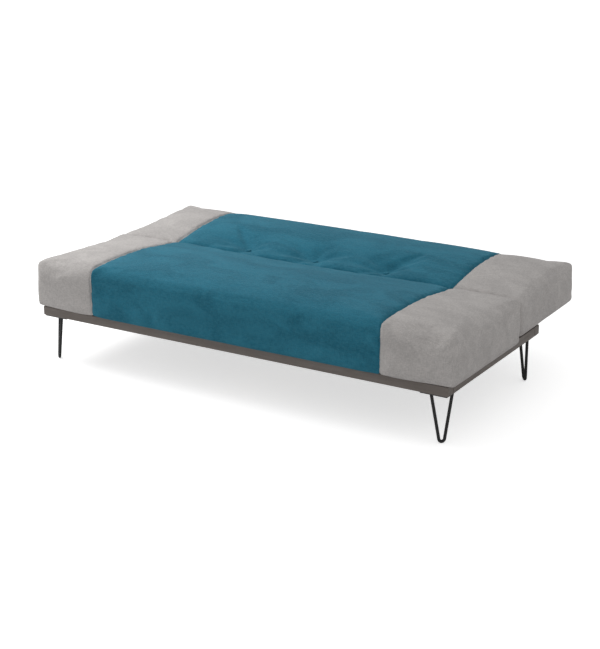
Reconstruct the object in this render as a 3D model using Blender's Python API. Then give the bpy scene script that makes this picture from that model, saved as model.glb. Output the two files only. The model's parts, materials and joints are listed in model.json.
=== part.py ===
"""A click-clack sofa bed on hairpin legs, laid flat as a bed.

Metres, +Z up, +X along the bed, +Y from the seat's front edge to the back's free edge.
The origin is on the floor under the middle of the bed.
Most parts are drawn in "plan" coordinates: y from the front edge, z from the floor.
"""
import math

import bmesh
import bpy
from mathutils import Matrix, Vector

# Driving dimensions
LENGTH = 1.90
DEPTH = 1.11
FRONT_Y = -DEPTH / 2
LEG_HEIGHT = 0.195
RAIL_HEIGHT = 0.038
RAIL_WIDTH = 0.045
FRAME_INSET = 0.027
FRAME_FRONT = 0.005
FRAME_REAR = 0.834
SEAM_X = 0.655

# Cushions. The back lies a little above the frame and tips up towards its free edge.
SEAT_DEPTH = 0.572
SEAT_BOTTOM = 0.2333
BACK_START = 0.5806
BACK_DEPTH = 0.529
BACK_BOTTOM = 0.246
BACK_TILT = math.radians(1.8)
CROWN = 0.044
COVER = 0.002
FOAM_INSET = 0.0026
CORNER_RADIUS = 0.030
SEAM_GAP = 0.0002

# One hinge line carries both the seat and the back.
HINGE_Y = 0.640
HINGE_Z = 0.372
STOPS = (0.0, 20.0, 49.0, 78.0, 94.0)

# Inner frames of seat and back
BAR_THICK = 0.025
BAR_HEIGHT = 0.0635
POCKET_X = 0.900
POCKET_TOP = 0.0765
SPRING_X = (-0.63, -0.21, 0.21, 0.63)
WIRE = 0.0036

# Hinge plates, counted outwards from the bed's middle
PLATE = 0.004
BACK_PLATE_X = 0.8573
SEAT_PLATE_X = 0.8623
BASE_PLATE_X = 0.8737
PIN_RADIUS = 0.006
PIN_CLEARANCE = 0.0001
STUD_RADIUS = 0.0024
HUB_RADIUS = 0.026
NOTCH_DEPTH = 0.0055
NOTCH_HALF_ANGLE = 7.0
NOSE_ANGLE = 283.0
PAWL_REACH = 0.055
PAWL_ANGLE = 250.0

# Legs
ROD = 0.012
ROD_SPREAD = 0.041
BEND = 0.011
FOOT_X = 0.885
FOOT_Y = (0.046, 0.800)
SPLAY = 0.010
LEG_PLATE = 0.004

# Tufting
BUTTON_X = (-0.33, 0.0, 0.33)
BUTTON_Y = 0.0715
BUTTON_RADIUS = 0.013
BUTTON_POCKET = 0.019

COLOURS = {
    "teal_fabric": ((0.045, 0.165, 0.225), 0.85, 0.0),
    "grey_fabric": ((0.42, 0.40, 0.385), 0.90, 0.0),
    "rail_wood": ((0.135, 0.11, 0.10), 0.60, 0.0),
    "inner_wood": ((0.55, 0.40, 0.24), 0.75, 0.0),
    "leg_steel": ((0.012, 0.012, 0.013), 0.40, 0.6),
    "hinge_steel": ((0.45, 0.45, 0.46), 0.35, 1.0),
    "foam": ((0.75, 0.70, 0.52), 0.95, 0.0),
    "dust_cloth": ((0.03, 0.03, 0.032), 0.95, 0.0),
}


def clear_scene():
    for obj in list(bpy.data.objects):
        bpy.data.objects.remove(obj)


def make_materials():
    made = {}
    for name, (colour, roughness, metallic) in COLOURS.items():
        material = bpy.data.materials.new(name)
        material.use_nodes = True
        shader = material.node_tree.nodes["Principled BSDF"]
        shader.inputs["Base Color"].default_value = (*colour, 1.0)
        shader.inputs["Roughness"].default_value = roughness
        shader.inputs["Metallic"].default_value = metallic
        made[name] = material
    return made


def make_empty(name, location, parent=None, tilt=0.0):
    empty = bpy.data.objects.new(name, None)
    bpy.context.scene.collection.objects.link(empty)
    empty.parent = parent
    empty.location = location
    empty.rotation_euler = (tilt, 0.0, 0.0)
    return empty


def make_object(name, bm, material, parent, location=(0.0, 0.0, 0.0), smooth=False):
    bmesh.ops.recalc_face_normals(bm, faces=bm.faces)
    mesh = bpy.data.meshes.new(name)
    bm.to_mesh(mesh)
    bm.free()
    if smooth:
        mesh.shade_smooth()
        mesh.set_sharp_from_angle(angle=math.radians(35))
    obj = bpy.data.objects.new(name, mesh)
    bpy.context.scene.collection.objects.link(obj)
    obj.parent = parent
    obj.location = location
    if material:
        obj.data.materials.append(material)
    return obj


def cut(obj, cutter, operation="DIFFERENCE"):
    """Cuts one object with another, or joins them, and hides the second."""
    modifier = obj.modifiers.new(cutter.name, "BOOLEAN")
    modifier.operation = operation
    modifier.object = cutter
    cutter.hide_render = True
    cutter.display_type = "WIRE"
    return obj


def box_mesh(low, high):
    bm = bmesh.new()
    bmesh.ops.create_cube(bm, size=1.0)
    size = Vector(high) - Vector(low)
    centre = (Vector(high) + Vector(low)) / 2
    bm.transform(Matrix.Translation(centre) @ Matrix.Diagonal((*size, 1.0)))
    return bm


def board(name, low, high, material, parent, edge=0.0):
    """A straight piece of timber, with its long edges eased by a small bevel."""
    bm = box_mesh(low, high)
    if edge:
        bmesh.ops.bevel(bm, geom=bm.edges[:], offset=edge, segments=2, profile=0.5, affect="EDGES")
    return make_object(name, bm, material, parent)


def prism_mesh(outline, low_x, high_x):
    """A (y, z) outline drawn out along X."""
    bm = bmesh.new()
    face = bm.faces.new([bm.verts.new((low_x, y, z)) for y, z in outline])
    swept = bmesh.ops.extrude_face_region(bm, geom=[face])
    moved = [item for item in swept["geom"] if isinstance(item, bmesh.types.BMVert)]
    bmesh.ops.translate(bm, verts=moved, vec=(high_x - low_x, 0.0, 0.0))
    return bm


def loft_mesh(rings):
    """A skin over a row of rings of equal point count, closed at both ends."""
    bm = bmesh.new()
    rows = [[bm.verts.new(point) for point in ring] for ring in rings]
    for near, far in zip(rows, rows[1:]):
        for i in range(len(near)):
            j = (i + 1) % len(near)
            bm.faces.new((near[i], near[j], far[j], far[i]))
    bm.faces.new(rows[0][::-1])
    bm.faces.new(rows[-1])
    return bm


def tube_mesh(path, radius, sides, turn=0.0):
    """A round bar along a path of points."""
    path = [Vector(p) for p in path]
    ahead = (path[1] - path[0]).normalized()
    across = ahead.orthogonal().normalized()
    rings = []
    for i, point in enumerate(path):
        before = (point - path[i - 1]).normalized() if i else ahead
        after = (path[i + 1] - point).normalized() if i + 1 < len(path) else before
        tangent = (before + after).normalized()
        across = (across - across.dot(tangent) * tangent).normalized()
        up = tangent.cross(across)
        stretch = 1.0 / max(before.dot(tangent), 0.5)
        bend = (after - before)
        ring = []
        for k in range(sides):
            angle = turn + math.tau * k / sides
            offset = (across * math.cos(angle) + up * math.sin(angle)) * radius
            if bend.length > 1e-6:
                along_bend = bend.normalized()
                offset += along_bend * offset.dot(along_bend) * (stretch - 1.0)
            ring.append(point + offset)
        rings.append(ring)
    return loft_mesh(rings)


def disc_mesh(profile, sides=20):
    """A turned part on the X axis, from (x, radius) points."""
    rings = []
    for x, radius in profile:
        steps = [math.tau * k / sides for k in range(sides)]
        rings.append([Vector((x, radius * math.cos(a), radius * math.sin(a))) for a in steps])
    return loft_mesh(rings)


def arc(centre_y, centre_z, radius, start, end, steps=4):
    angles = [math.radians(start + (end - start) * i / steps) for i in range(steps + 1)]
    return [(centre_y + radius * math.cos(a), centre_z + radius * math.sin(a)) for a in angles]


def strap_outline(path, half_width):
    """The outline of a flat steel strap with round ends, along a bent line of (y, z) points."""
    path = [Vector(p) for p in path]
    left, right = [], []
    for before, here, after in zip(path, path[1:], path[2:]):
        first = (here - before).normalized()
        second = (after - here).normalized()
        side = Vector((-first.y - second.y, first.x + second.x)).normalized()
        reach = half_width / side.dot(Vector((-first.y, first.x)))
        left.append(here + side * reach)
        right.append(here - side * reach)
    first = path[1] - path[0]
    last = path[-1] - path[-2]
    start = math.degrees(math.atan2(first.y, first.x))
    end = math.degrees(math.atan2(last.y, last.x))
    outline = arc(path[0].x, path[0].y, half_width, start + 270, start + 90, 8)
    outline += [tuple(p) for p in left]
    outline += arc(path[-1].x, path[-1].y, half_width, end + 90, end - 90, 8)
    outline += [tuple(p) for p in reversed(right)]
    return outline


# Cushions

SEAT = {"depth": SEAT_DEPTH, "near_top": 0.1935, "far_top": 0.1675,
        "near_radius": 0.034, "far_radius": 0.018, "near_foot": 0.006, "far_foot": 0.010}
BACK = {"depth": BACK_DEPTH, "near_top": 0.156, "far_top": 0.168,
        "near_radius": 0.018, "far_radius": 0.030, "near_foot": 0.045, "far_foot": 0.012}


def cushion_outline(shape, inset, extra, crown, drop=0.0):
    """One (y, z) section of a cushion: z is counted from its underside.

    inset moves the whole section inwards, and extra draws in its front, back and top.
    crown is how far the middle rises, and drop opens the underside, for a cutter.
    """
    near, far = inset + extra, shape["depth"] - inset - extra
    near_r = max(shape["near_radius"] - inset - extra / 2, 0.008)
    far_r = max(shape["far_radius"] - inset - extra / 2, 0.008)
    near_top, far_top = shape["near_top"] - inset - extra, shape["far_top"] - inset - extra
    points = arc(near + near_r, near_top - near_r, near_r, 180, 90)
    steps = 9
    first, last = near + near_r, far - far_r
    for i in range(1, steps):
        share = i / steps
        rise = crown * math.sin(math.pi * share) ** 0.8
        points.append((first + (last - first) * share, near_top + (far_top - near_top) * share + rise))
    points += arc(far - far_r, far_top - far_r, far_r, 90, 0)
    foot, heel = shape["far_foot"] - inset, shape["near_foot"] - inset
    points += arc(far - foot, inset + foot, foot, 0, -90, 2)
    if drop:
        points += [(far - foot, -drop), (near + heel, -drop)]
    points += arc(near + heel, inset + heel, heel, -90, -180, 4)
    return points


def crown_share(x):
    """The crown is full over the middle and almost dies away at the two ends."""
    outside = max(abs(x) - 0.50, 0.0) / (LENGTH / 2 - 0.50)
    return 1.0 - 0.92 * outside ** 2.5


def cushion_stations(low_x, high_x, inset):
    """(x, extra inset) places along the cushion, close together round its ends."""
    end = LENGTH / 2 - inset
    places = [(low_x, 0.0)] if low_x > -end + 0.1 else []
    inner = [-0.85, -0.75, -0.50, 0.50, 0.75, 0.85]
    corner = [(end - CORNER_RADIUS + CORNER_RADIUS * math.sin(math.radians(a)),
               CORNER_RADIUS * (1 - math.cos(math.radians(a)))) for a in (0, 30, 60, 84)]
    if low_x <= -end + 0.1:
        places += [(-x, extra) for x, extra in reversed(corner)]
    places += [(x, 0.0) for x in inner if low_x < x < high_x]
    if high_x >= end - 0.1:
        places += corner
    else:
        places.append((high_x, 0.0))
    return places


def cushion_mesh(shape, low_x, high_x, inset, drop=0.0):
    rings = []
    for x, extra in cushion_stations(low_x, high_x, inset):
        outline = cushion_outline(shape, inset, extra, CROWN * crown_share(x), drop)
        rings.append([Vector((x, y, z)) for y, z in outline])
    bm = loft_mesh(rings)
    bmesh.ops.poke(bm, faces=[face for face in bm.faces if len(face.verts) > 4])
    bmesh.ops.triangulate(bm, faces=bm.faces[:])
    return bm


def upholster(name, shape, parent, materials, cutters):
    """The foam block and its three sewn covers. cutters are taken out of all four."""
    limit = LENGTH / 2
    foam = make_object(f"{name}_foam", cushion_mesh(shape, -limit, limit, FOAM_INSET),
                       materials["foam"], parent, smooth=True)
    pieces = [foam]
    panels = (("centre", -SEAM_X + SEAM_GAP, SEAM_X - SEAM_GAP, "teal_fabric"),
              ("left", -limit, -SEAM_X - SEAM_GAP, "grey_fabric"),
              ("right", SEAM_X + SEAM_GAP, limit, "grey_fabric"))
    for side, low, high, slot in panels:
        cover = make_object(f"{name}_cover_{side}", cushion_mesh(shape, low, high, 0.0),
                            materials[slot], parent, smooth=True)
        inner = make_object(f"cutter_{name}_{side}",
                            cushion_mesh(shape, max(low - 0.01, -limit), min(high + 0.01, limit),
                                         COVER, drop=0.05), None, parent)
        cut(cover, inner)
        pieces.append(cover)
    for piece in pieces:
        for cutter in cutters:
            cut(piece, cutter)
    return foam


def inner_frame(name, near, far, side_x, base, parent, materials):
    """Four bars, a middle bar, zigzag springs across them and a cloth underneath."""
    wood = materials["inner_wood"]
    low, high = base + 0.002, base + 0.002 + BAR_HEIGHT
    span = side_x - 0.0005
    board(f"{name}_near_bar", (-span, near, low), (span, near + BAR_THICK, high), wood, parent, 0.002)
    board(f"{name}_far_bar", (-span, far - BAR_THICK, low), (span, far, high), wood, parent, 0.002)
    for side, sign in (("left", -1), ("right", 1)):
        ends = sorted((sign * side_x, sign * (side_x + BAR_THICK)))
        board(f"{name}_side_bar_{side}", (ends[0], near, low), (ends[1], far, high), wood, parent, 0.002)
    inner_near, inner_far = near + BAR_THICK + 0.0005, far - BAR_THICK - 0.0005
    board(f"{name}_middle_bar", (-BAR_THICK / 2, inner_near, low), (BAR_THICK / 2, inner_far, high),
          wood, parent, 0.002)
    for number, x in enumerate(SPRING_X, 1):
        path = zigzag(x, near + 0.010, far - 0.010, high + WIRE / 2 + 0.0004)
        make_object(f"{name}_spring_{number}", tube_mesh(path, WIRE / 2, 4, math.pi / 4),
                    materials["hinge_steel"], parent)
    cloth = box_mesh((-span, near, base + 0.0003), (span, far, base + 0.0015))
    make_object(f"{name}_dust_cloth", cloth, materials["dust_cloth"], parent)


def zigzag(x, start, end, z, half_width=0.050, waves=8):
    """A sinuous spring's wire: flat loops side to side, as it runs from bar to bar."""
    per_wave = 6
    count = waves * per_wave
    points = []
    for i in range(count + 1):
        swing = math.sin(math.tau * i / per_wave) * 1.15
        points.append((x + half_width * max(-1.0, min(1.0, swing)), start + (end - start) * i / count, z))
    return points


def build_seat(parent, materials):
    plan = make_empty("seat_plan", (0.0, -HINGE_Y, -HINGE_Z), parent)
    cushion = make_empty("seat_cushion_base", (0.0, 0.0, SEAT_BOTTOM), plan)
    cutters = [make_object("cutter_seat_pocket", box_mesh((-POCKET_X, 0.030, -0.05),
                                                         (POCKET_X, 0.5455, POCKET_TOP)), None, cushion)]
    for sign in (-1, 1):
        ends = sorted((sign * (SEAT_PLATE_X - 0.0023), sign * (SEAT_PLATE_X + PLATE + 0.003)))
        slot = box_mesh((ends[0], 0.50, -0.05), (ends[1], SEAT_DEPTH + 0.05, 0.0775))
        cutters.append(make_object(f"cutter_seat_slot_{sign}", slot, None, cushion))
    upholster("seat", SEAT, cushion, materials, cutters)
    inner_frame("seat", 0.032, 0.543, 0.837, 0.0, cushion, materials)


def build_back(parent, materials):
    plan = make_empty("back_plan", (0.0, BACK_START - HINGE_Y, BACK_BOTTOM - HINGE_Z), parent, BACK_TILT)
    cutters = [make_object("cutter_back_pocket", box_mesh((-POCKET_X, 0.048, -0.05),
                                                          (POCKET_X, 0.5000, POCKET_TOP)), None, plan)]
    for sign in (-1, 1):
        ends = sorted((sign * 0.8480, sign * 0.8815))
        under = box_mesh((ends[0], -0.05, -0.06), (ends[1], 0.180, 0.155))
        ends = sorted((sign * 0.8510, sign * 0.8800))
        through = box_mesh((ends[0], -0.06, -0.07), (ends[1], 0.040, 0.25))
        cutters.append(make_object(f"cutter_back_slot_{sign}", under, None, plan))
        cutters.append(make_object(f"cutter_back_corner_{sign}", through, None, plan))
    seat_height = 0.150
    for number, x in enumerate(BUTTON_X, 1):
        pocket = disc_mesh(((seat_height, BUTTON_POCKET), (0.25, BUTTON_POCKET)))
        hole = disc_mesh(((0.05, 0.003), (seat_height + 0.01, 0.003)), 8)
        for kind, bm in (("pocket", pocket), ("hole", hole)):
            bm.transform(Matrix.Rotation(-math.pi / 2, 4, "Y"))
            cutters.append(make_object(f"cutter_{kind}_{number}", bm, None, plan, (x, BUTTON_Y, 0.0)))
        tuft(number, x, seat_height, plan, materials)
    upholster("back", BACK, plan, materials, cutters)
    inner_frame("back", 0.050, 0.4975, 0.832, 0.0, plan, materials)


def tuft(number, x, seat_height, parent, materials):
    """A covered button on the pocket's floor, and the twine that ties it down to a toggle."""
    r = BUTTON_RADIUS
    low = seat_height + 0.0004
    dome = [(low, r * 0.80), (low + 0.0015, r)]
    for angle in (0, 25, 50, 72, 86):
        a = math.radians(angle)
        dome.append((low + 0.003 + 0.006 * math.sin(a), r * math.cos(a)))
    button = disc_mesh(dome, 16)
    ceiling = POCKET_TOP
    tie = disc_mesh(((ceiling - 0.0030, 0.008), (ceiling - 0.0004, 0.008), (ceiling - 0.0003, 0.001),
                     (low - 0.0003, 0.001)), 8)
    for name, bm, slot in (("button", button, "teal_fabric"), ("tie", tie, "dust_cloth")):
        bm.transform(Matrix.Rotation(-math.pi / 2, 4, "Y"))
        make_object(f"tuft_{name}_{number}", bm, materials[slot], parent, (x, BUTTON_Y, 0.0), smooth=True)


# Hinges. Their plates are drawn with the hinge line as (0, 0).

def hub_outline():
    """The back plate's ratchet hub: a disc with one notch for each angle between seat and back."""
    centres = sorted((NOSE_ANGLE - stop) % 360.0 for stop in STOPS)
    points = []
    for here, following in zip(centres, centres[1:] + [centres[0] + 360.0]):
        points.append(pawl_point(HUB_RADIUS - NOTCH_DEPTH, here - NOTCH_HALF_ANGLE + 2.0))
        points.append(pawl_point(HUB_RADIUS - NOTCH_DEPTH, here + NOTCH_HALF_ANGLE - 2.0))
        start, end = here + NOTCH_HALF_ANGLE, following - NOTCH_HALF_ANGLE
        steps = max(1, round((end - start) / 14.0))
        points += arc(0.0, 0.0, HUB_RADIUS, start, end, steps)
    return points


def pawl_point(radius, angle):
    return (radius * math.cos(math.radians(angle)), radius * math.sin(math.radians(angle)))


def pawl_outline():
    """The pawl hangs beside the hub, its nose just clear of the rim, as it is held in the flat position."""
    pivot = Vector(pawl_point(PAWL_REACH, PAWL_ANGLE))
    nose, tip = NOSE_ANGLE, HUB_RADIUS + 0.0014
    outline = arc(pivot.x, pivot.y, 0.0065, 125, 325, 8)
    outline += [pawl_point(0.0480, nose - 1.0), pawl_point(0.0420, nose + 9.0)]
    outline += [pawl_point(0.0330, nose + 4.5), pawl_point(tip, nose + 1.2), pawl_point(tip, nose - 1.2)]
    outline += [pawl_point(0.0330, nose - 4.0), pawl_point(0.0375, nose - 9.0)]
    return outline


def plate_mesh(outline, inner_x, sign, thickness=PLATE):
    low, high = sorted((sign * inner_x, sign * (inner_x + thickness)))
    return prism_mesh(outline, low, high)


def bore(obj, name, x, sign, parent, centre=(0.0, 0.0), radius=PIN_RADIUS + PIN_CLEARANCE):
    ends = sorted((sign * (x - 0.01), sign * (x + 0.014)))
    bm = disc_mesh(((ends[0], radius), (ends[1], radius)))
    cutter = make_object(f"cutter_{name}", bm, None, parent, (0.0, *centre))
    return cut(obj, cutter)


def build_hinge(side, sign, pivots, materials):
    steel = materials["hinge_steel"]
    base, seat, back = pivots
    # base plate, screwed to the inside of the end rail
    foot_z = LEG_HEIGHT + 0.003 - HINGE_Z
    outline = arc(0.0, 0.0, 0.016, 0, 180, 8) + [(-0.016, -0.090), (-0.050, -0.135), (-0.050, foot_z),
                                                 (0.050, foot_z), (0.050, -0.135), (0.016, -0.090)]
    plate = make_object(f"hinge_base_plate_{side}", plate_mesh(outline, BASE_PLATE_X, sign), steel, base)
    bore(plate, f"base_bore_{side}", BASE_PLATE_X, sign, base)
    # seat plate, from the hinge line down and forward along the seat's side bar
    elbow = (-0.012, -0.081)
    outline = strap_outline(((0.0, 0.0), elbow, (-0.260, -0.103)), 0.0135)
    plate = make_object(f"hinge_seat_plate_{side}", plate_mesh(outline, SEAT_PLATE_X, sign), steel, seat)
    bore(plate, f"seat_bore_{side}", SEAT_PLATE_X, sign, seat)
    bm = disc_mesh([(sign * x, r) for x, r in ((0.8522, STUD_RADIUS), (0.8640, STUD_RADIUS))])
    stud = make_object(f"cutter_stud_{side}", bm, None, seat, (0.0, *pawl_point(PAWL_REACH, PAWL_ANGLE)))
    cut(plate, stud, "UNION")
    # back plate, a ratchet hub and an arm along the back's side bar
    outline = strap_outline(((0.0, 0.0), (0.105, -0.0735), (0.255, -0.0688)), 0.0135)
    plate = make_object(f"hinge_back_plate_{side}", plate_mesh(outline, BACK_PLATE_X, sign), steel, back)
    hub = make_object(f"cutter_hub_{side}", plate_mesh(hub_outline(), BACK_PLATE_X, sign), None, back)
    cut(plate, hub, "UNION")
    bore(plate, f"back_bore_{side}", BACK_PLATE_X, sign, back)
    # pin with a shoulder that spaces the plates
    edge = PIN_RADIUS
    profile = ((0.8520, 0.0085), (0.8530, 0.0095), (0.8570, 0.0095), (0.8570, edge), (0.8666, edge),
               (0.8666, 0.010), (0.8734, 0.010), (0.8734, edge), (0.8785, edge))
    bm = disc_mesh([(sign * x, r) for x, r in profile])
    make_object(f"hinge_pin_{side}", bm, steel, base, smooth=True)


def build_pawl(side, sign, seat, materials):
    """The pawl and, on its stud, the coil that springs it. The pawl's empty is on its own axis."""
    y, z = pawl_point(PAWL_REACH, PAWL_ANGLE)
    axis = make_empty(f"pawl_axis_{side}", (0.0, y, z), seat)
    outline = [(py - y, pz - z) for py, pz in pawl_outline()]
    steel = materials["hinge_steel"]
    pawl = make_object(f"pawl_{side}", plate_mesh(outline, BACK_PLATE_X, sign), steel, axis)
    bore(pawl, f"pawl_bore_{side}", BACK_PLATE_X, sign, axis, radius=STUD_RADIUS + PIN_CLEARANCE)
    turns, per_turn = 3, 10
    path = []
    for i in range(turns * per_turn + 1):
        a = math.tau * i / per_turn
        x = sign * (0.8529 + 0.0032 * i / (turns * per_turn))
        path.append((x, 0.0042 * math.cos(a), 0.0042 * math.sin(a)))
    coil = tube_mesh(path, 0.0005, 4)
    make_object(f"pawl_spring_{side}", coil, steel, seat, (0.0, y, z))


# Base

def build_frame(plan, materials):
    wood = materials["rail_wood"]
    low, high = LEG_HEIGHT, LEG_HEIGHT + RAIL_HEIGHT
    end = LENGTH / 2 - FRAME_INSET
    inner = end - RAIL_WIDTH
    board("front_rail", (-end, FRAME_FRONT, low), (end, FRAME_FRONT + RAIL_WIDTH, high), wood, plan, 0.003)
    board("rear_rail", (-end, FRAME_REAR - RAIL_WIDTH, low), (end, FRAME_REAR, high), wood, plan, 0.003)
    joint = 0.0004
    near, far = FRAME_FRONT + RAIL_WIDTH + joint, FRAME_REAR - RAIL_WIDTH - joint
    board("end_rail_left", (-end, near, low), (-inner, far, high), wood, plan, 0.003)
    board("end_rail_right", (inner, near, low), (end, far, high), wood, plan, 0.003)
    half = RAIL_WIDTH / 2
    board("middle_rail", (-half, near, low), (half, far, high), materials["inner_wood"], plan, 0.003)
    size = 0.080
    for name, sx, y, sy in corners():
        corner_x = sx * (inner - joint)
        corner_y = near + joint if sy > 0 else far - joint
        triangle = [(corner_x, corner_y), (corner_x - sx * size, corner_y), (corner_x, corner_y + sy * size)]
        bm = bmesh.new()
        face = bm.faces.new([bm.verts.new((x, yy, low + 0.004)) for x, yy in triangle])
        swept = bmesh.ops.extrude_face_region(bm, geom=[face])
        moved = [item for item in swept["geom"] if isinstance(item, bmesh.types.BMVert)]
        bmesh.ops.translate(bm, verts=moved, vec=(0.0, 0.0, RAIL_HEIGHT - 0.008))
        make_object(f"corner_block_{name}", bm, materials["inner_wood"], plan)


def corners():
    """Name, side in X, foot's y, and the way in Y from that corner to the frame's middle."""
    return (("front_left", -1, FOOT_Y[0], 1), ("front_right", 1, FOOT_Y[0], 1),
            ("rear_left", -1, FOOT_Y[1], -1), ("rear_right", 1, FOOT_Y[1], -1))


def build_legs(plan, materials):
    top = LEG_HEIGHT - 0.0003
    for name, sx, foot_y, sy in corners():
        outward = Vector((sx, -sy, 0.0)) / math.sqrt(2)
        across = Vector((sx, sy, 0.0)) / math.sqrt(2)
        foot = Vector((sx * FOOT_X, foot_y, 0.0))
        reach = SPLAY * math.sqrt(2)

        def point(u, z):
            lean = reach * (z - ROD / 2) / (top - ROD / 2)
            return foot + across * u - outward * lean + Vector((0.0, 0.0, z))

        slope = math.degrees(math.atan2(ROD_SPREAD - BEND, top - BEND))
        bend = arc(0.0, ROD / 2 + BEND + 0.0001, BEND, -180 + slope, -slope, 6)
        line = [(-ROD_SPREAD, top - LEG_PLATE / 2), *bend, (ROD_SPREAD, top - LEG_PLATE / 2)]
        bm = tube_mesh([point(u, z) for u, z in line], ROD / 2, 12, math.pi / 12)
        rod = make_object(f"rod_{name}", bm, materials["leg_steel"], plan, smooth=True)
        # the mounting plate runs along both rails, with its inner side cut across the corner
        end_x = sx * (LENGTH / 2 - FRAME_INSET - 0.006)
        end_y = FRAME_FRONT + 0.006 if sy > 0 else FRAME_REAR - 0.006
        long, wide = 0.108, 0.024
        shape = ((0, 0), (long, 0), (long, wide), (wide, long), (0, long))
        bm = bmesh.new()
        face = bm.faces.new([bm.verts.new((end_x - sx * u, end_y + sy * v, top)) for u, v in shape])
        swept = bmesh.ops.extrude_face_region(bm, geom=[face])
        moved = [item for item in swept["geom"] if isinstance(item, bmesh.types.BMVert)]
        bmesh.ops.translate(bm, verts=moved, vec=(0.0, 0.0, -LEG_PLATE))
        plate = make_object(f"hairpin_leg_{name}", bm, materials["leg_steel"], plan)
        cut(plate, rod, "UNION")


def main():
    clear_scene()
    materials = make_materials()
    plan = make_empty("base_plan", (0.0, FRONT_Y, 0.0))
    hinge_line = (0.0, FRONT_Y + HINGE_Y, HINGE_Z)
    base_pivot = make_empty("base_hinge_line", hinge_line)
    seat_pivot = make_empty("seat_pivot", hinge_line)
    back_pivot = make_empty("back_pivot", hinge_line)
    build_frame(plan, materials)
    build_legs(plan, materials)
    build_seat(seat_pivot, materials)
    build_back(back_pivot, materials)
    for side, sign in (("left", -1), ("right", 1)):
        build_hinge(side, sign, (base_pivot, seat_pivot, back_pivot), materials)
        build_pawl(side, sign, seat_pivot, materials)


main()
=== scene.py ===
import json
import math

import bmesh
import bpy
import numpy as np
from mathutils import Matrix, Vector
from mathutils.noise import noise


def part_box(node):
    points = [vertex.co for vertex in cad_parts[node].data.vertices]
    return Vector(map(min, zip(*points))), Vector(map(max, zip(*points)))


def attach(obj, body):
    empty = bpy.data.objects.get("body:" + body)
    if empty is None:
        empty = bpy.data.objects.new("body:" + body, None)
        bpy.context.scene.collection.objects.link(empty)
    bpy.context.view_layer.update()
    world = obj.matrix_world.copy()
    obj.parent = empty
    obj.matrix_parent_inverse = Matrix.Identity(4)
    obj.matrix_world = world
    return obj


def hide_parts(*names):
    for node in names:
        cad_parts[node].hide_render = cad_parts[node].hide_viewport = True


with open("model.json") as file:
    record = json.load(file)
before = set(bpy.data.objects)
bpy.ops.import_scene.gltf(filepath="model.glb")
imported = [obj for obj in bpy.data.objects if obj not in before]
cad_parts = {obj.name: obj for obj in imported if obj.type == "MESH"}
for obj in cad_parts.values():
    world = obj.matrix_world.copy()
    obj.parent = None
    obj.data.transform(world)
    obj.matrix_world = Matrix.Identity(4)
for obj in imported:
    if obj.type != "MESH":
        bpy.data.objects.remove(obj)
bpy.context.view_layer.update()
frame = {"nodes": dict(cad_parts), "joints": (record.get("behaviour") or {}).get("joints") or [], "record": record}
nodes = frame["nodes"]
print("frame loaded")


# small helpers for node trees

def addNode(tree, kind, at=(0, 0), **settings):
    node = tree.nodes.new(kind)
    node.location = at
    for name, value in settings.items():
        setattr(node, name, value)
    return node


def setSockets(node, **values):
    for name, value in values.items():
        node.inputs[name.replace("_", " ")].default_value = value
    return node


def mathNode(tree, operation, first, second, at=(0, 0), clamp=False):
    node = addNode(tree, "ShaderNodeMath", at, operation=operation, use_clamp=clamp)
    for socket, value in zip(node.inputs, (first, second)):
        if isinstance(value, (int, float)):
            socket.default_value = value
        else:
            tree.links.new(value, socket)
    return node.outputs[0]


def mixColour(tree, amount, first, second, at=(0, 0)):
    node = addNode(tree, "ShaderNodeMix", at, data_type="RGBA")
    for index, value in ((0, amount), (6, first), (7, second)):
        if isinstance(value, bpy.types.NodeSocket):
            tree.links.new(value, node.inputs[index])
        elif isinstance(value, (int, float)):
            node.inputs[index].default_value = value
        else:
            node.inputs[index].default_value = (*value, 1)
    return node.outputs[2]


def rampBetween(tree, value, low, high, at=(0, 0)):
    node = addNode(tree, "ShaderNodeMapRange", at, interpolation_type="SMOOTHSTEP")
    setSockets(node, From_Min=low, From_Max=high)
    tree.links.new(value, node.inputs["Value"])
    return node.outputs[0]


def noiseNode(tree, at, **values):
    return setSockets(addNode(tree, "ShaderNodeTexNoise", at), **values)


def newGroup(name, inputs, outputs):
    group = bpy.data.node_groups.new(name, "ShaderNodeTree")
    for label, kind, value in inputs:
        socket = group.interface.new_socket(label, in_out="INPUT", socket_type="NodeSocket" + kind)
        if value is not None:
            socket.default_value = value
    for label, kind in outputs:
        group.interface.new_socket(label, in_out="OUTPUT", socket_type="NodeSocket" + kind)
    source = addNode(group, "NodeGroupInput", (-900, 0))
    result = addNode(group, "NodeGroupOutput", (900, 0))
    return group, source, result


def useGroup(tree, group, at=(0, 0), **values):
    node = addNode(tree, "ShaderNodeGroup", at, node_tree=group)
    return setSockets(node, **values)


# shared effects: each gives masks and heights only

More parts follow.
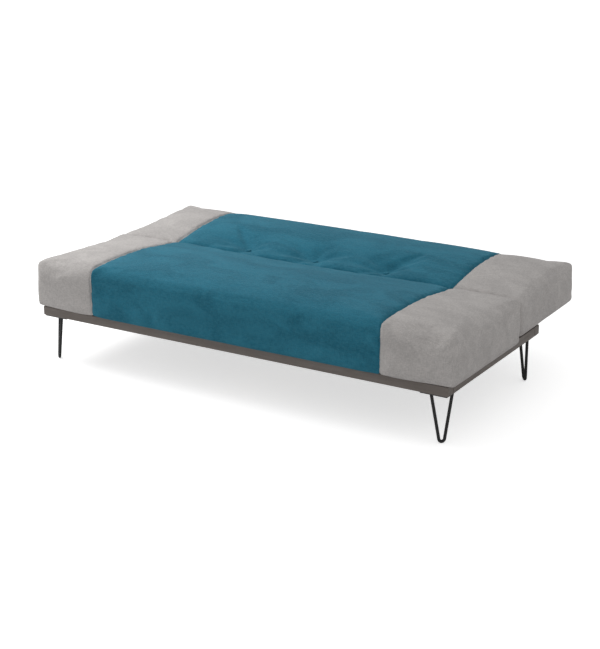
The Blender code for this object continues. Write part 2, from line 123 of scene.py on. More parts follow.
def makeWeave():
    # uneven threads lying along each axis, plus loose fibre ends
    group, source, result = newGroup(
        "clothWeave",
        [("Vector", "Vector", None), ("Thread", "Float", 0.0014), ("Run", "Float", 0.012)],
        [("Height", "Float"), ("Fibre", "Float")])
    link = group.links.new
    fine = mathNode(group, "DIVIDE", 1.0, source.outputs["Thread"], (-700, -100))
    long = mathNode(group, "DIVIDE", 1.0, source.outputs["Run"], (-700, -240))
    total = None
    for axis in range(3):
        scale = addNode(group, "ShaderNodeCombineXYZ", (-520, -220 * axis))
        for index in range(3):
            link(long if index == axis else fine, scale.inputs[index])
        placed = addNode(group, "ShaderNodeVectorMath", (-340, -220 * axis), operation="MULTIPLY")
        link(source.outputs["Vector"], placed.inputs[0])
        link(scale.outputs[0], placed.inputs[1])
        threads = noiseNode(group, (-160, -220 * axis), Scale=0.7, Detail=1.0)
        link(placed.outputs[0], threads.inputs["Vector"])
        total = threads.outputs["Fac"] if total is None else mathNode(
            group, "ADD", total, threads.outputs["Fac"], (60, -220 * axis))
    link(rampBetween(group, total, 1.2, 1.8, (300, 0)), result.inputs["Height"])
    fibre = noiseNode(group, (60, 260), Scale=1400.0, Detail=3.0, Roughness=0.7)
    link(source.outputs["Vector"], fibre.inputs["Vector"])
    link(fibre.outputs["Fac"], result.inputs["Fibre"])
    return group


def makePile():
    # where hands and creases have brushed the pile one way or the other
    group, source, result = newGroup(
        "brushedPile",
        [("Vector", "Vector", None), ("Patch Size", "Float", 0.11), ("Stretch", "Float", 1.8)],
        [("Brushed", "Float"), ("Slubs", "Float")])
    link = group.links.new
    size = mathNode(group, "DIVIDE", 1.0, source.outputs["Patch Size"], (-700, -200))
    along = mathNode(group, "DIVIDE", size, source.outputs["Stretch"], (-700, -320))
    scale = addNode(group, "ShaderNodeCombineXYZ", (-520, -220))
    link(along, scale.inputs[0])
    link(size, scale.inputs[1])
    link(size, scale.inputs[2])
    placed = addNode(group, "ShaderNodeVectorMath", (-340, 0), operation="MULTIPLY")
    link(source.outputs["Vector"], placed.inputs[0])
    link(scale.outputs[0], placed.inputs[1])
    cloud = noiseNode(group, (-160, 100), Scale=1.0, Detail=3.0, Roughness=0.55, Distortion=0.9)
    link(placed.outputs[0], cloud.inputs["Vector"])
    link(rampBetween(group, cloud.outputs["Fac"], 0.34, 0.68, (60, 100)), result.inputs["Brushed"])
    slub = noiseNode(group, (-160, -160), Scale=14.0, Detail=4.0, Roughness=0.65)
    link(placed.outputs[0], slub.inputs["Vector"])
    link(rampBetween(group, slub.outputs["Fac"], 0.30, 0.70, (60, -160)), result.inputs["Slubs"])
    return group


def makeGrain():
    # long wood fibres with darker growth bands and open pores
    group, source, result = newGroup(
        "boardGrain",
        [("Vector", "Vector", None), ("Band Width", "Float", 0.016)],
        [("Bands", "Float"), ("Pores", "Float"), ("Height", "Float")])
    link = group.links.new
    width = mathNode(group, "DIVIDE", 1.0, source.outputs["Band Width"], (-700, -200))
    long = mathNode(group, "MULTIPLY", width, 0.06, (-560, -260))
    scale = addNode(group, "ShaderNodeCombineXYZ", (-420, -200))
    link(long, scale.inputs[0])
    link(width, scale.inputs[1])
    link(width, scale.inputs[2])
    placed = addNode(group, "ShaderNodeVectorMath", (-260, 0), operation="MULTIPLY")
    link(source.outputs["Vector"], placed.inputs[0])
    link(scale.outputs[0], placed.inputs[1])
    bands = noiseNode(group, (-80, 120), Scale=1.3, Detail=5.0, Roughness=0.6, Distortion=0.5)
    pores = noiseNode(group, (-80, -160), Scale=13.0, Detail=3.0, Roughness=0.7)
    link(placed.outputs[0], bands.inputs["Vector"])
    link(placed.outputs[0], pores.inputs["Vector"])
    bandMask = rampBetween(group, bands.outputs["Fac"], 0.32, 0.68, (120, 120))
    poreMask = rampBetween(group, pores.outputs["Fac"], 0.56, 0.72, (120, -160))
    link(bandMask, result.inputs["Bands"])
    link(poreMask, result.inputs["Pores"])
    link(mathNode(group, "SUBTRACT", mathNode(group,
    "MULTIPLY", bandMask, 0.35, (300, 60)), poreMask, (440, 0)),
         result.inputs["Height"])
    return group


def makeWear():
    # rubbed edges from the surface's own corners, broken up by a noise, and settled dust
    group, source, result = newGroup(
        "rubAndDust",
        [("Vector", "Vector", None), ("Edge", "Float", 0.52), ("Grime Size", "Float", 0.05)],
        [("Rubbed", "Float"), ("Grime", "Float")])
    link = group.links.new
    shape = addNode(group, "ShaderNodeNewGeometry", (-700, 200))
    rough = noiseNode(group, (-700, -100), Scale=90.0, Detail=4.0)
    link(source.outputs["Vector"], rough.inputs["Vector"])
    broken = mathNode(group, "MULTIPLY", rough.outputs["Fac"], 0.06, (-500, -60))
    broken = mathNode(group, "ADD", shape.outputs["Pointiness"], broken, (-360, 100))
    low = mathNode(group, "ADD", source.outputs["Edge"], 0.03, (-500, 300))
    over = mathNode(group, "SUBTRACT", broken, low, (-200, 140))
    link(mathNode(group, "MULTIPLY", over, 14.0, (-60, 140), clamp=True), result.inputs["Rubbed"])
    size = mathNode(group, "DIVIDE", 1.0, source.outputs["Grime Size"], (-500, -300))
    grime = noiseNode(group, (-300, -260), Detail=4.0, Roughness=0.6)
    link(source.outputs["Vector"], grime.inputs["Vector"])
    link(size, grime.inputs["Scale"])
    link(rampBetween(group, grime.outputs["Fac"], 0.40, 0.72, (-100, -260)), result.inputs["Grime"])
    return group


weaveGroup = makeWeave()
pileGroup = makePile()
grainGroup = makeGrain()
wearGroup = makeWear()


# materials

def newMaterial(name):
    material = bpy.data.materials.new(name)
    material.use_nodes = True
    tree = material.node_tree
    shader = tree.nodes["Principled BSDF"]
    place = addNode(tree, "ShaderNodeTexCoord", (-1400, 0))
    return material, tree, shader, place.outputs["Object"]


def bumpInto(tree, shader, layers, at=(-300, -500)):
    # layers are (height socket, strength, distance in metres), coarsest first
    normal = None
    for index, (height, strength, distance) in enumerate(layers):
        bump = setSockets(addNode(tree, "ShaderNodeBump", (at[0] + 180 * index, at[1])), Strength=strength,
                          Distance=distance)
        tree.links.new(height, bump.inputs["Height"])
        if normal is not None:
            tree.links.new(normal, bump.inputs["Normal"])
        normal = bump.outputs[0]
    tree.links.new(normal, shader.inputs["Normal"])


tealCloth = {"deep": (0.0110, 0.124, 0.190), "lit": (0.0240, 0.182, 0.268), "slub": (0.050, 0.220, 0.300),
             "thread": 0.0014, "patch": 0.12, "stretch": 1.9, "roughness": (0.74, 0.92), "sheen": 0.16,
             "sheenTint": (0.34, 0.78, 1.0), "weaveBump": 0.34, "fuzzBump": 0.30}
greyCloth = {"deep": (0.450, 0.428, 0.416), "lit": (0.540, 0.514, 0.498), "slub": (0.600, 0.574, 0.557),
             "thread": 0.0014, "patch": 0.10, "stretch": 1.5, "roughness": (0.78, 0.94), "sheen": 0.08,
             "sheenTint": (0.95, 0.95, 0.95), "weaveBump": 0.36, "fuzzBump": 0.32}


def makeCloth(name, cloth):
    material, tree, shader, vector = newMaterial(name)
    link = tree.links.new
    pile = useGroup(tree, pileGroup, (-1100, 200), Patch_Size=cloth["patch"], Stretch=cloth["stretch"])
    weave = useGroup(tree, weaveGroup, (-1100, -200), Thread=cloth["thread"])
    link(vector, pile.inputs["Vector"])
    link(vector, weave.inputs["Vector"])
    base = mixColour(tree, pile.outputs["Brushed"], cloth["deep"], cloth["lit"], (-800, 250))
    slub = mathNode(tree, "MULTIPLY", pile.outputs["Slubs"], 0.38, (-800, 60))
    base = mixColour(tree, slub, base, cloth["slub"], (-600, 220))
    # painted shade: the cloth colour is darkened towards a darker copy of its deep colour in the low valleys
    # between the woven threads
    threadValleyShade = mathNode(tree, "SUBTRACT", 1.0, weave.outputs["Height"], (-800, -120))
    threadValleyShade = mathNode(tree, "MULTIPLY", threadValleyShade, 0.34, (-640, -120))
    base = mixColour(tree, threadValleyShade, base, tuple(c * 0.45 for c in cloth["deep"]), (-420, 200))
    link(base, shader.inputs["Base Color"])
    span = addNode(tree, "ShaderNodeMapRange", (-600, -260))
    setSockets(span, To_Min=cloth["roughness"][0], To_Max=cloth["roughness"][1])
    link(weave.outputs["Fibre"], span.inputs["Value"])
    link(span.outputs[0], shader.inputs["Roughness"])
    setSockets(shader, Sheen_Weight=cloth["sheen"], Sheen_Roughness=0.45, Sheen_Tint=(*cloth["sheenTint"], 1),
               Specular_IOR_Level=0.16)
    bumpInto(tree, shader, [(pile.outputs["Slubs"], 0.16, 0.0030),
                            (weave.outputs["Height"], cloth["weaveBump"], 0.0011),
                            (weave.outputs["Fibre"], cloth["fuzzBump"], 0.0005)])
    return material


railWood = {"early": (0.136, 0.118, 0.107), "late": (0.075, 0.064, 0.057), "pore": (0.041, 0.034, 0.030),
            "rubbed": (0.20, 0.17, 0.15), "bands": 0.016, "coat": 0.08, "roughness": 0.50, "bump": 0.30}
innerWood = {"early": (0.60, 0.44, 0.27), "late": (0.43, 0.28, 0.15), "pore": (0.30, 0.19, 0.10),
             "rubbed": (0.66, 0.50, 0.33), "bands": 0.011, "coat": 0.0, "roughness": 0.72, "bump": 0.45}


def makeWood(name, wood, alongY=False):
    material, tree, shader, vector = newMaterial(name)
    link = tree.links.new
    if alongY:
        turned = addNode(tree, "ShaderNodeMapping", (-1250, 200))
        turned.inputs["Rotation"].default_value = (0, 0, math.radians(90))
        link(vector, turned.inputs["Vector"])
        vector = turned.outputs[0]
    grain = useGroup(tree, grainGroup, (-1050, 200), Band_Width=wood["bands"])
    wear = useGroup(tree, wearGroup, (-1050, -150), Edge=0.50, Grime_Size=0.07)
    link(vector, grain.inputs["Vector"])
    link(vector, wear.inputs["Vector"])
    base = mixColour(tree, grain.outputs["Bands"], wood["early"], wood["late"], (-780, 260))
    poreMask = mathNode(tree, "MULTIPLY", grain.outputs["Pores"], 0.7, (-780, 80))
    base = mixColour(tree, poreMask, base, wood["pore"], (-600, 220))
    rubMask = mathNode(tree, "MULTIPLY", wear.outputs["Rubbed"], 0.5, (-780, -60))
    base = mixColour(tree, rubMask, base, wood["rubbed"], (-420, 180))
    link(base, shader.inputs["Base Color"])
    rough = mathNode(tree, "MULTIPLY", wear.outputs["Grime"], 0.16, (-600, -200))
    link(mathNode(tree, "ADD", rough, wood["roughness"], (-420, -200)), shader.inputs["Roughness"])
    setSockets(shader, Coat_Weight=wood["coat"], Coat_Roughness=0.35)
    bumpInto(tree, shader, [(grain.outputs["Height"], wood["bump"], 0.0007)])
    return material


legPaint = {"paint": (0.0060, 0.0060, 0.0066), "dusty": (0.014, 0.0135, 0.013), "bare": (0.06, 0.06, 0.062),
            "roughness": 0.42, "texture": 0.30}
zincSteel = {"paint": (0.50, 0.50, 0.51), "dusty": (0.34, 0.33, 0.31), "bare": (0.66, 0.66, 0.67),
             "roughness": 0.34, "texture": 0.22}


def makeMetal(name, metal, metallic):
    material, tree, shader, vector = newMaterial(name)
    link = tree.links.new
    wear = useGroup(tree, wearGroup, (-1050, 100), Edge=0.53, Grime_Size=0.03)
    link(vector, wear.inputs["Vector"])
    peel = noiseNode(tree, (-1050, -250), Scale=900.0, Detail=2.0)
    link(vector, peel.inputs["Vector"])
    dustMask = mathNode(tree, "MULTIPLY", wear.outputs["Grime"], 0.6, (-800, 120))
    base = mixColour(tree, dustMask, metal["paint"], metal["dusty"], (-600, 200))
    rubMask = mathNode(tree, "MULTIPLY", wear.outputs["Rubbed"], 0.45, (-800, -40))
    base = mixColour(tree, rubMask, base, metal["bare"], (-420, 160))
    link(base, shader.inputs["Base Color"])
    rough = mathNode(tree, "MULTIPLY", wear.outputs["Grime"], 0.22, (-600, -140))
    link(mathNode(tree, "ADD", rough, metal["roughness"], (-420, -140)), shader.inputs["Roughness"])
    setSockets(shader, Metallic=metallic)
    bumpInto(tree, shader, [(peel.outputs["Fac"], metal["texture"], 0.0004)])
    return material


dustCloth = {"fibre": (0.020, 0.020, 0.021), "thin": (0.045, 0.044, 0.044), "roughness": 0.92}
foamBlock = {"fibre": (0.62, 0.55, 0.36), "thin": (0.74, 0.68, 0.49), "roughness": 0.95}


def makeFelt(name, felt, grain):
    # pressed fibres or foam cells: blotches of thickness with a pitted surface
    material, tree, shader, vector = newMaterial(name)
    link = tree.links.new
    blotch = noiseNode(tree, (-1000, 150), Scale=grain * 0.12, Detail=4.0)
    cells = setSockets(addNode(tree, "ShaderNodeTexVoronoi", (-1000, -150)), Scale=grain)
    link(vector, blotch.inputs["Vector"])
    link(vector, cells.inputs["Vector"])
    link(mixColour(tree, rampBetween(tree, blotch.outputs["Fac"], 0.35, 0.7, (-800, 150)), felt["fibre"],
                   felt["thin"], (-600, 150)), shader.inputs["Base Color"])
    rough = mathNode(tree, "MULTIPLY", cells.outputs["Distance"], 0.05, (-600, -60))
    link(mathNode(tree, "ADD", rough, felt["roughness"], (-420, -60)), shader.inputs["Roughness"])
    bumpInto(tree, shader, [(cells.outputs["Distance"], 0.4, 0.0008)])
    return material


tealMaterial = makeCloth("tealCloth", tealCloth)
greyMaterial = makeCloth("greyCloth", greyCloth)
railMaterial = makeWood("stainedRail", railWood)
endRailMaterial = makeWood("stainedEndRail", railWood, alongY=True)
innerMaterial = makeWood("bareSoftwood", innerWood)
innerYMaterial = makeWood("bareSoftwoodAcross", innerWood, alongY=True)
legMaterial = makeMetal("blackPowderCoat", legPaint, 0.0)
zincMaterial = makeMetal("zincPlate", zincSteel, 1.0)
dustMaterial = makeFelt("dustCloth", dustCloth, 700.0)
foamMaterial = makeFelt("paleFoam", foamBlock, 420.0)

for name, node in nodes.items():
    slot = next(part["material_slot"] for part in frame["record"]["subparts"] if part["node"] == name)
    acrossBed = any(word in name for word in ("end_rail", "side_bar", "middle", "corner_block"))
    chosen = {"teal_fabric": tealMaterial, "grey_fabric": greyMaterial, "foam": foamMaterial,
              "rail_wood": endRailMaterial if acrossBed else railMaterial,
              "inner_wood": innerYMaterial if acrossBed else innerMaterial,
              "leg_steel": legMaterial, "hinge_steel": zincMaterial, "dust_cloth": dustMaterial}[slot]
    node.data.materials.clear()
    node.data.materials.append(chosen)
print("materials made")


# cushions

seatBox = (Vector(map(min, *(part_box(n)[0] for n in ("seat_cover_left", "seat_cover_right")))),
           Vector(map(max, *(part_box(n)[1] for n in ("seat_cover_left", "seat_cover_right")))))
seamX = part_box("seat_cover_centre")[1].x
halfLength = seatBox[1].x
hingeAt = Vector(frame["joints"][0]["pos_m"])

seatCushion = {"name": "seat", "front": seatBox[0].y, "depth": seatBox[1].y - seatBox[0].y + 0.0013,
               "bottom": seatBox[0].z, "tilt": 0.0, "nearTop": 0.1925, "farTop": 0.1690, "crown": 0.0400,
               "crownEnds": (0.45, 0.90), "nearRadius": 0.018, "farRadius": 0.007, "nearFoot": 0.008,
               "farFoot": 0.008,
               "endRadius": (0.034, 0.024), "nearBow": 0.014, "farBow": 0.0, "farDrop": 0.0,
               "creaseAt": 0.572, "creaseFill": (0.009, 0.005), "lip": 0.0085,
               "openUnder": ((-0.842, 0.842), (0.040, 0.535)), "tufts": ()}
backCushion = {"name": "back", "front": 0.0188, "depth": 0.5358, "bottom": 0.246,
               "tilt": math.radians(1.8), "nearTop": 0.156, "farTop": 0.170, "crown": 0.0450,
               "crownEnds": (0.90, 0.75), "nearRadius": 0.008, "farRadius": 0.022, "nearFoot": 0.042,
               "farFoot": 0.010,
               "endRadius": (0.024, 0.016), "nearBow": 0.0, "farBow": 0.008, "farDrop": 0.024,
               "creaseAt": 0.0, "creaseFill": (0.007, 0.002), "lip": 0.0,
               "openUnder": ((-0.842, 0.842), (0.064, 0.494)),
               "tufts": tuple(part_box(f"tuft_button_{n}") for n in (1, 2, 3))}
cushionLook = {"spacing": 0.0125, "seamDepth": 0.0034, "seamWidth": 0.0050, "seamPull": 0.0030,
               "seamReach": 0.045, "seamCrown": 0.80, "endCrown": 0.05, "endReach": 0.004,
               "creaseReach": 0.17,
               "tuftFlat": 0.0145, "tuftSpread": (0.086, 0.046), "tuftLean": 0.028, "puckers": 0.0034,
               "pressure": 3.2, "extraCloth": -0.018, "sideCap": 0.003, "topCap": 0.008, "startLow": 0.004,
               "hingeRadius": 0.0715, "hingeGap": 0.0014, "heelLine": 0.0200, "heelTop": -0.03,
               "creaseSide": -0.02,
               "slotClear": 0.0045, "underside": 0.006, "turnIn": 0.006, "seamGap": 0.0006, "hemRise": 0.0015,
               "middleHeight": 0.09, "pastEnds": 2.0, "stitchPull": 0.0016, "stitchAway": 0.014,
               "handMade": 0.0012}
hingeSlots = {"lines": (0.8455, 0.8565, 0.8705, 0.8815), "seat": (0.8565, 0.8705, 0.078),
              "back": (0.8565, 0.8815, 0.4030),
              "under": (0.8455, 0.8815, 0.185)}
clothStuff = {"steps": 5, "weight": 0.4, "stiffness": 18, "shear": 8, "bend": 1.2, "damping": 2, "frames": 20,
              "held": 1.0, "seamHeld": 0.85}
endX = halfLength + cushionLook["endReach"]


def objectFrom(bm, name):
    mesh = bpy.data.meshes.new(name)
    bm.to_mesh(mesh)
    bm.free()
    item = bpy.data.objects.new(name, mesh)
    bpy.context.scene.collection.objects.link(item)
    return item


def gridLines(low, high, spacing, marks=()):
    # evenly spaced lines between low and high, with finer lines beside each mark
    stops = [low, *marks, high]
    lines = []
    for start, end in zip(stops, stops[1:]):
        finer = [0.0025, 0.006, 0.0115, 0.019]
        left = [start + step for step in finer] if start in marks else []
        right = [end - step for step in reversed(finer)] if end in marks else []
        first = left[-1] if left else start
        last = right[0] if right else end
        count = max(1, round((last - first) / spacing))
        middle = [first + (last - first) * i / count for i in range(count + 1)]
        lines += [start] + left[:-1] + middle + right[1:] if left else middle + right[1:]
        if right:
            lines.append(end)
    return sorted(set(round(value, 6) for value in lines))


def crownShare(x):
    # fullest in the middle, a little lower at the colour seams, almost flat at the ends
    look = cushionLook
    share = 1.0 - (1.0 - look["seamCrown"]) * min(abs(x) / seamX, 1.0) ** 2
    outside = max(abs(x) - 0.50, 0.0) / (endX - 0.50)
    return max(share * (1.0 - outside ** 2.5), look["endCrown"])


def smoothStep(value):
    value = min(max(value, 0.0), 1.0)
    return value * value * (3 - 2 * value)


def shapePoint(cushion, x, y, share):
    # x along the bed, y from the cushion's near edge, share is the height as a part of the whole
    depth, look = cushion["depth"], cushionLook
    across = y / depth
    full = cushion["nearTop"] + (cushion["farTop"] - cushion["nearTop"]) * across
    crowned = crownShare(x)
    fullness = cushion["crownEnds"][0 if across < 0.5 else 1]
    arch = max(math.sin(math.pi * min(max(across, 0.0), 1.0)), 0.0) ** fullness
    rise = cushion["crown"] * arch * crowned
    middleFill, endFill = cushion["creaseFill"]
    near = 1.0 - smoothStep(abs(y - cushion["creaseAt"]) / look["creaseReach"])
    rise += (endFill + (middleFill - endFill) * crowned) * near
    rise -= cushion["farDrop"] * crowned * smoothStep((across - 0.72) / 0.28)
    topRadius = cushion["nearRadius"] + (cushion["farRadius"] - cushion["nearRadius"]) * smoothStep(across)
    footRadius = cushion["nearFoot"] + (cushion["farFoot"] - cushion["nearFoot"]) * smoothStep(across)
    radius = footRadius + (topRadius - footRadius) * smoothStep((share - 0.3) / 0.4)
    endNear, endFar = cushion["endRadius"]
    endRadius = endNear + (endFar - endNear) * smoothStep(across)
    z = share * full
    innerY = min(max(y, radius), depth - radius)
    innerZ = min(max(z, radius), full - radius)
    innerX = min(max(x, -endX + endRadius), endX - endRadius)
    dx, dy, dz = (x - innerX) / endRadius, (y - innerY) / radius, (z - innerZ) / radius
    size = math.sqrt(dx * dx + dy * dy + dz * dz)
    if size > 1e-9:
        grown = max(abs(dx), abs(dy), abs(dz)) / size
        x = innerX + dx * grown * endRadius
        y = innerY + dy * grown * radius
        z = innerZ + dz * grown * radius
    z += rise * smoothStep((share - 0.45) / 0.55)
    y += cushion["lip"] * smoothStep((share - 0.80) / 0.15) * smoothStep((y / depth - 0.9) / 0.1)
    bowed = smoothStep((endX - abs(x)) / 0.26)
    farMove = cushion["farBow"] * smoothStep((across - 0.5) / 0.5)
    nearMove = cushion["nearBow"] * smoothStep((0.5 - across) / 0.5)
    y += bowed * (farMove - nearMove)
    return x, y, z


def blankCushion(cushion):
    # a closed shell of squares, with lines of its own at each colour seam and hinge plate
    look = cushionLook
    full = (cushion["nearTop"] + cushion["farTop"]) / 2
    xs = gridLines(-endX, endX, look["spacing"], (-seamX, seamX))
    slots = [side * line for side in (-1, 1) for line in hingeSlots["lines"]]
    xs = sorted([x for x in xs if min(abs(x - line) for line in slots) > look["slotClear"]] + slots)
    ys = gridLines(0.0, cushion["depth"], look["spacing"])
    shares = gridLines(0.0, 1.0, look["spacing"] / full)
    bm = bmesh.new()
    found = {}

    def corner(i, j, k):
        key = (i, j, k)
        if key not in found:
            found[key] = bm.verts.new(shapePoint(cushion, xs[i], ys[j], shares[k]))
        return found[key]

    def square(*keys):
        bm.faces.new([corner(*key) for key in keys])

    ni, nj, nk = len(xs) - 1, len(ys) - 1, len(shares) - 1
    for i in range(ni):
        for j in range(nj):
            square((i, j, nk), (i + 1, j, nk), (i + 1, j + 1, nk), (i, j + 1, nk))
            square((i, j, 0), (i, j + 1, 0), (i + 1, j + 1, 0), (i + 1, j, 0))
        for k in range(nk):
            square((i, 0, k), (i + 1, 0, k), (i + 1, 0, k + 1), (i, 0, k + 1))
            square((i, nj, k), (i, nj, k + 1), (i + 1, nj, k + 1), (i + 1, nj, k))
    for j in range(nj):
        for k in range(nk):
            square((0, j, k), (0, j, k + 1), (0, j + 1, k + 1), (0, j + 1, k))
            square((ni, j, k), (ni, j + 1, k), (ni, j + 1, k + 1), (ni, j, k + 1))
    return objectFrom(bm, cushion["name"] + "Blank")


def placeOf(mesh):
    return np.array([v.co for v in mesh.vertices], dtype=float)


def setPlaces(mesh, places):
    mesh.vertices.foreach_set("co", places.astype(np.float32).ravel())
    mesh.update()


def normalsOf(mesh):
    found = np.zeros(len(mesh.vertices) * 3)
    mesh.vertices.foreach_get("normal", found)
    return found.reshape(-1, 3)


def topness(cushion, places):
    # 1 on the upper surface, 0 low on the sides
    level = cushion["nearTop"] + (cushion["farTop"] - cushion["nearTop"]) * places[:, 1] / cushion["depth"]
    return np.clip((places[:, 2] / level - 0.62) / 0.33, 0, 1)


def tuftAt(cushion, low, high):
    return (low.x + high.x) / 2, (low.y + high.y) / 2 - cushion["front"]


def pressTufts(cushion, places):
    # each button pulls the cover down to its own seat, with puckers running out from it
    look = cushionLook
    spreadX, spreadY = look["tuftSpread"]
    top = topness(cushion, places)
    height = places[:, 2].copy()
    for number, (low, high) in enumerate(cushion["tufts"]):
        tx, ty = tuftAt(cushion, low, high)
        floorZ = low.z + 0.0012 - cushion["bottom"] - ty * math.sin(cushion["tilt"])
        dx, dy = places[:, 0] - tx, places[:, 1] - ty
        wide = np.where(dx < 0, spreadX + look["tuftLean"], spreadX - look["tuftLean"])
        away = np.hypot(dx, dy)
        loose = np.clip((away - look["tuftFlat"]) / np.maximum(away, 1e-6), 0, 1)
        reach = np.sqrt((dx / wide) ** 2 + (dy / spreadY) ** 2) * loose
        angle = np.arctan2(dy / spreadY, dx / spreadX)
        folds = np.cos(angle * 7 + number * 1.7) + 0.6 * np.cos(angle * 4 - number)
        press = (height - floorZ) * np.exp(-reach ** 1.35)
        press += look["puckers"] * folds * np.exp(-((reach - 0.9) / 0.6) ** 2)
        places[:, 2] = np.minimum(places[:, 2], height - press * top)


def puffUp(blank, cushion):
    # pressure and a little spare cloth round off the block and wrinkle it beside the fixed lines
    look = cushionLook
    start = placeOf(blank.data)
    start[:, 2] -= look["startLow"] * topness(cushion, start)
    pressTufts(cushion, start)
    setPlaces(blank.data, start)
    hold = blank.vertex_groups.new(name="held")
    seam = np.abs(np.abs(start[:, 0]) - seamX) < 0.001
    atFrame = start[:, 2] < 0.022
    crease = (start[:, 1] > cushion["depth"] - 0.002) if cushion["name"] == "seat" else (start[:, 1] < 0.002)
    crease &= start[:, 2] < 0.135
    tuft = np.zeros(len(start), bool)
    for low, high in cushion["tufts"]:
        tx, ty = tuftAt(cushion, low, high)
        tuft |= (np.hypot(start[:, 0] - tx, start[:, 1] - ty) < 0.018) & (start[:, 2] > 0.1)
    stuff = clothStuff
    weight = np.where(atFrame | crease | tuft, stuff["held"], np.where(seam, stuff["seamHeld"], 0.0))
    for value in (stuff["held"], stuff["seamHeld"]):
        hold.add([int(i) for i in np.nonzero(weight == value)[0]], value, "REPLACE")
    cloth = blank.modifiers.new("cloth", "CLOTH")
    settings = cloth.settings
    settings.quality = stuff["steps"]
    settings.mass = stuff["weight"]
    settings.tension_stiffness = settings.compression_stiffness = stuff["stiffness"]
    settings.shear_stiffness = stuff["shear"]
    settings.bending_stiffness = stuff["bend"]
    settings.air_damping = stuff["damping"]
    settings.use_pressure = True
    settings.uniform_pressure_force = look["pressure"]
    settings.shrink_min = look["extraCloth"]
    settings.vertex_group_mass = "held"
    settings.effector_weights.gravity = 0
    cloth.collision_settings.use_collision = False
    scene = bpy.context.scene
    cloth.point_cache.frame_start = 1
    cloth.point_cache.frame_end = stuff["frames"]
    for number in range(1, stuff["frames"] + 1):
        scene.frame_set(number)
    done = blank.evaluated_get(bpy.context.evaluated_depsgraph_get())
    puffed = placeOf(done.to_mesh())
    done.to_mesh_clear()
    blank.modifiers.remove(cloth)
    scene.frame_set(1)
    move = puffed - start
    length = np.linalg.norm(move, axis=1, keepdims=True)
    most = look["sideCap"] + (look["topCap"] - look["sideCap"]) * topness(cushion, start)[:, None]
    move *= np.minimum(1.0, most / np.maximum(length, 1e-9))
    setPlaces(blank.data, start + move)


def refine(blank):
    modifier = blank.modifiers.new("finer", "SUBSURF")
    modifier.levels = modifier.render_levels = 1
    modifier.subdivision_type = "CATMULL_CLARK"
    done = blank.evaluated_get(bpy.context.evaluated_depsgraph_get())
    finer = bpy.data.meshes.new_from_object(done)
    blank.modifiers.remove(modifier)
    blank.data = finer


def sewSeams(blank):
    look = cushionLook
    places = placeOf(blank.data)
    normals = normalsOf(blank.data)
    away = np.abs(np.abs(places[:, 0]) - seamX)
    around = places[:, 1] + places[:, 2] * 0.8
    sides = np.sign(places[:, 0])
    pucker = np.array([noise(Vector((side * 4.0, t * 42.0, 2.5))) for side, t in zip(sides, around)])
    sink = look["seamDepth"] * np.exp(-(away / look["seamWidth"]) ** 2)
    sink += look["seamPull"] * np.exp(-(away / look["seamReach"]) ** 2)
    sink += look["stitchPull"] * pucker * np.exp(-((away - look["stitchAway"]) / look["stitchAway"]) ** 2)
    handMade = np.array([noise(Vector((p[0] * 5.0, p[1] * 7.0, p[2] * 7.0 + 3.0))) for p in places])
    places -= normals * (sink - look["handMade"] * handMade)[:, None]
    setPlaces(blank.data, places)


def standInRow(piece, cushion):
    # from the cushion's own space to the bed's
    turn = Matrix.Rotation(cushion["tilt"], 4, "X")
    move = Matrix.Translation((0.0, cushion["front"], cushion["bottom"]))
    piece.data.transform(move @ turn)
    clearHinge(piece, cushion)


def clearHinge(piece, cushion):
    # the back turns inside a round space about the hinge line, and the seat stays outside it
    look = cushionLook
    places = placeOf(piece.data)
    fromHinge = places[:, 1:] - np.array([hingeAt.y, hingeAt.z])
    reach = np.linalg.norm(fromHinge, axis=1)
    if cushion["name"] == "back":
        wanted = look["hingeRadius"]
        inCrease = (fromHinge[:, 0] < look["creaseSide"]) & (fromHinge[:, 1] > look["heelTop"])
        wrong = inCrease & (reach > wanted)
    else:
        wanted = look["hingeRadius"] + look["hingeGap"]
        wrong = reach < wanted
    scale = np.where(wrong, wanted / np.maximum(reach, 1e-6), 1.0)
    places[:, 1:] = np.array([hingeAt.y, hingeAt.z]) + fromHinge * scale[:, None]
    if cushion["name"] == "back":
        heel = fromHinge[:, 1] <= look["heelTop"]
        places[heel, 1] = np.maximum(places[heel, 1], look["heelLine"])
    setPlaces(piece.data, places)


def isSlot(cushion, middle):
    # openings that let the hinge plates through, all of them hidden in the crease or underneath
    side = abs(middle.x)
    if cushion["name"] == "seat":
        low, high, top = hingeSlots["seat"]
        return low < side < high and middle.z < top and middle.y > cushion["depth"] - 0.012
    low, high, top = hingeSlots["back"]
    inCrease = low < side < high and middle.y < 0.05 and middle.z + cushion["bottom"] < top
    low, high, back = hingeSlots["under"]
    return inCrease or (low < side < high and middle.z < cushionLook["underside"] and middle.y < back)


